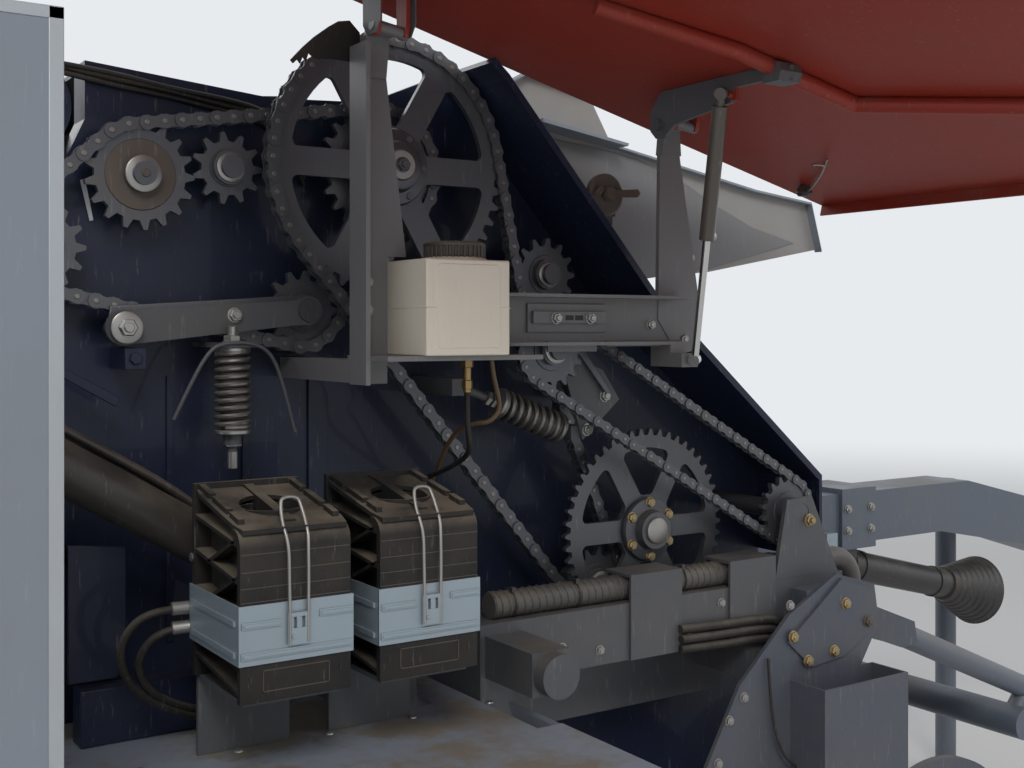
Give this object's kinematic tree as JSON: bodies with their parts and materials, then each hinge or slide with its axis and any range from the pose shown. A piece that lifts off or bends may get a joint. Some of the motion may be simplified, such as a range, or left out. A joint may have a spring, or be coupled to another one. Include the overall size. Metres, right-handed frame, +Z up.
{
  "type": "round baler with ring wrapper",
  "caption": "Trailed round baler with a ring wrapper on one tandem chassis, right hood raised over its chain drives.",
  "frame": {"origin": "centre of the towing eye", "axes": "+X forward towards the tractor, +Y to the machine's left, +Z up along the towing eye's bore"},
  "size_m": [7.035, 3.51, 2.58],
  "materials": {
    "painted_frame": "satin",
    "dark_panels": "satin",
    "side_panels": "satin",
    "red_sheet": "satin",
    "bare_steel": "satin",
    "drive_steel": "satin",
    "cylinder_paint": "satin",
    "chrome_rod": "polished",
    "pickup_paint": "satin",
    "galvanised": "satin",
    "tank_plastic": "satin",
    "dark_plastic": "matte",
    "hose_rubber": "matte",
    "tyre_rubber": "matte",
    "rim_paint": "satin",
    "film": "glossy"
  },
  "bodies": {
    "chassis": {"chassis_frame": "painted_frame", "drawbar": "painted_frame", "tow_eye": "bare_steel", "drive_line": "dark_plastic", "chamber_walls": "dark_panels", "chamber_skin": "dark_panels", "chamber_rollers": "bare_steel", "net_unit": "side_panels", "feeder_sides": "side_panels", "right_sprockets": "drive_steel", "right_chains": "drive_steel", "tensioners": "painted_frame", "hood_frame": "painted_frame", "oil_tank": "tank_plastic", "chocks": "dark_plastic", "chock_holders": "galvanised", "hose_run": "hose_rubber", "hose_saddles": "galvanised", "mudguards": "dark_panels", "side_guards": "side_panels", "bogies": "painted_frame", "rear_lamps": "red_sheet", "ring_carrier": "painted_frame", "table_carrier": "painted_frame", "transfer_tray": "pickup_paint"},
    "jack": {"jack_leg": "bare_steel"},
    "tailgate": {"tailgate": "dark_panels", "tailgate_rollers": "bare_steel"},
    "pickup": {"pickup_frame": "pickup_paint"},
    "reel": {"pickup_reel": "bare_steel"},
    "gauge_left": {"gauge_wheel_left": "tyre_rubber"},
    "gauge_right": {"gauge_wheel_right": "tyre_rubber"},
    "wind_guard": {"wind_guard": "bare_steel"},
    "feed_rotor": {"feed_rotor": "bare_steel"},
    "hood_right": {"hood_right": "red_sheet"},
    "hood_left": {"hood_left": "red_sheet"},
    "wrap_ring": {"wrap_ring": "bare_steel"},
    "film_left": {"film_roll_left": "film"},
    "film_right": {"film_roll_right": "film"},
    "wrap_table": {"wrap_table": "pickup_paint"},
    "table_roller_front": {"table_roller_front": "bare_steel"},
    "table_roller_rear": {"table_roller_rear": "bare_steel"},
    "wheel_front_left": {"tyre_front_left": "tyre_rubber", "rim_front_left": "rim_paint"},
    "wheel_front_right": {"tyre_front_right": "tyre_rubber", "rim_front_right": "rim_paint"},
    "wheel_rear_left": {"tyre_rear_left": "tyre_rubber", "rim_rear_left": "rim_paint"},
    "wheel_rear_right": {"tyre_rear_right": "tyre_rubber", "rim_rear_right": "rim_paint"},
    "strut_stem_right": {"strut_stem_right": "chrome_rod"},
    "strut_barrel_right": {"strut_barrel_right": "cylinder_paint"},
    "strut_stem_left": {"strut_stem_left": "chrome_rod"},
    "strut_barrel_left": {"strut_barrel_left": "cylinder_paint"},
    "gate_barrel_left": {"gate_barrel_left": "cylinder_paint"},
    "gate_rod_left": {"gate_rod_left": "chrome_rod"},
    "gate_barrel_right": {"gate_barrel_right": "cylinder_paint"},
    "gate_rod_right": {"gate_rod_right": "chrome_rod"}
  },
  "joints": [
    {"name": "wheel_front_left_spin", "type": "hinge", "parent": "chassis", "child": "wheel_front_left", "pos_m": [-4.06, 1.2, -0.375], "axis": [0, 1, 0], "continuous": true},
    {"name": "wheel_front_right_spin", "type": "hinge", "parent": "chassis", "child": "wheel_front_right", "pos_m": [-4.06, -1.2, -0.375], "axis": [0, 1, 0], "continuous": true},
    {"name": "wheel_rear_left_spin", "type": "hinge", "parent": "chassis", "child": "wheel_rear_left", "pos_m": [-5.13, 1.2, -0.375], "axis": [0, 1, 0], "continuous": true},
    {"name": "wheel_rear_right_spin", "type": "hinge", "parent": "chassis", "child": "wheel_rear_right", "pos_m": [-5.13, -1.2, -0.375], "axis": [0, 1, 0], "continuous": true},
    {"name": "jack_swing", "type": "hinge", "parent": "chassis", "child": "jack", "pos_m": [-0.64, 0.205, 0.2], "axis": [0, 1, 0], "range_deg": [0, 90]},
    {"name": "tailgate_lift", "type": "hinge", "parent": "chassis", "child": "tailgate", "pos_m": [-4.21, 0, 1.21], "axis": [0, 1, 0], "range_deg": [0, 100]},
    {"name": "pickup_lift", "type": "hinge", "parent": "chassis", "child": "pickup", "pos_m": [-2.78, 0, -0.09], "axis": [0, -1, 0], "range_deg": [0, 18]},
    {"name": "reel_spin", "type": "hinge", "parent": "pickup", "child": "reel", "pos_m": [-2.27, 0, -0.46], "axis": [0, 1, 0], "continuous": true},
    {"name": "gauge_left_spin", "type": "hinge", "parent": "pickup", "child": "gauge_left", "pos_m": [-2.65, 1.125, -0.651], "axis": [0, 1, 0], "continuous": true},
    {"name": "gauge_right_spin", "type": "hinge", "parent": "pickup", "child": "gauge_right", "pos_m": [-2.65, -1.125, -0.651], "axis": [0, 1, 0], "continuous": true},
    {"name": "wind_guard_lift", "type": "hinge", "parent": "chassis", "child": "wind_guard", "pos_m": [-2.33, 0, 0.135], "axis": [0, -1, 0], "range_deg": [0, 25]},
    {"name": "feed_rotor_spin", "type": "hinge", "parent": "chassis", "child": "feed_rotor", "pos_m": [-2.9, 0, -0.21], "axis": [0, 1, 0], "continuous": true},
    {"name": "hood_right_swing", "type": "hinge", "parent": "chassis", "child": "hood_right", "pos_m": [-3.7, -1.05, 1.325], "axis": [0.9878, 0, -0.1556], "range_deg": [0, 80]},
    {"name": "hood_left_swing", "type": "hinge", "parent": "chassis", "child": "hood_left", "pos_m": [-3.7, 1.05, 1.325], "axis": [0.9878, 0, -0.1556], "range_deg": [0, 80]},
    {"name": "strut_right_tilt", "type": "hinge", "parent": "chassis", "child": "strut_stem_right", "pos_m": [-3.083, -1.105, 0.774], "axis": [-0.8194, -0.5046, -0.2719], "range_deg": [0, 23]},
    {"name": "strut_right_slide", "type": "slide", "parent": "strut_stem_right", "child": "strut_barrel_right", "axis": [-0.1347, -0.2915, 0.947], "range_m": [-0.21, 0]},
    {"name": "strut_left_tilt", "type": "hinge", "parent": "chassis", "child": "strut_stem_left", "pos_m": [-3.083, 1.105, 0.774], "axis": [-0.8194, 0.5046, -0.2719], "range_deg": [0, 23]},
    {"name": "strut_left_slide", "type": "slide", "parent": "strut_stem_left", "child": "strut_barrel_left", "axis": [-0.341, -0.0479, 0.9388], "range_m": [0, 0.21]},
    {"name": "gate_cylinder_left_tilt", "type": "hinge", "parent": "chassis", "child": "gate_barrel_left", "pos_m": [-3.64, 0.9, 0.289], "axis": [0, 1, 0], "range_deg": [0, 19.3]},
    {"name": "gate_rod_left_slide", "type": "slide", "parent": "gate_barrel_left", "child": "gate_rod_left", "axis": [-0.8555, 0, 0.5178], "range_m": [0, 0.661]},
    {"name": "gate_cylinder_right_tilt", "type": "hinge", "parent": "chassis", "child": "gate_barrel_right", "pos_m": [-3.64, -0.9, 0.289], "axis": [0, 1, 0], "range_deg": [0, 19.3]},
    {"name": "gate_rod_right_slide", "type": "slide", "parent": "gate_barrel_right", "child": "gate_rod_right", "axis": [-0.8555, 0, 0.5178], "range_m": [0, 0.661]},
    {"name": "wrap_ring_spin", "type": "hinge", "parent": "chassis", "child": "wrap_ring", "pos_m": [-6.0375, 0, 0.55], "axis": [1, 0, 0], "continuous": true},
    {"name": "film_left_spin", "type": "hinge", "parent": "wrap_ring", "child": "film_left", "pos_m": [-6.565, 1.07, 0.55], "axis": [1, 0, 0], "continuous": true},
    {"name": "film_right_spin", "type": "hinge", "parent": "wrap_ring", "child": "film_right", "pos_m": [-6.565, -1.07, 0.55], "axis": [1, 0, 0], "continuous": true},
    {"name": "wrap_table_tip", "type": "hinge", "parent": "chassis", "child": "wrap_table", "pos_m": [-6.8, 0, -0.078], "axis": [0, -1, 0], "range_deg": [0, 35]},
    {"name": "table_roller_front_spin", "type": "hinge", "parent": "wrap_table", "child": "table_roller_front", "pos_m": [-6.075, 0, -0.078], "axis": [0, 1, 0], "continuous": true},
    {"name": "table_roller_rear_spin", "type": "hinge", "parent": "wrap_table", "child": "table_roller_rear", "pos_m": [-6.8, 0, -0.078], "axis": [0, 1, 0], "continuous": true}
  ],
  "couplings": [
    {"joint": "strut_right_tilt", "follows": "hood_right_swing", "ratio": 0.28647},
    {"joint": "strut_right_slide", "follows": "hood_right_swing", "m_per_rad": -0.14938},
    {"joint": "strut_left_tilt", "follows": "hood_left_swing", "ratio": 0.28647},
    {"joint": "strut_left_slide", "follows": "hood_left_swing", "m_per_rad": 0.14938},
    {"joint": "gate_cylinder_left_tilt", "follows": "tailgate_lift", "ratio": 0.18985},
    {"joint": "gate_rod_left_slide", "follows": "tailgate_lift", "m_per_rad": 0.37748},
    {"joint": "gate_cylinder_right_tilt", "follows": "tailgate_lift", "ratio": 0.18985},
    {"joint": "gate_rod_right_slide", "follows": "tailgate_lift", "m_per_rad": 0.37748}
  ]
}
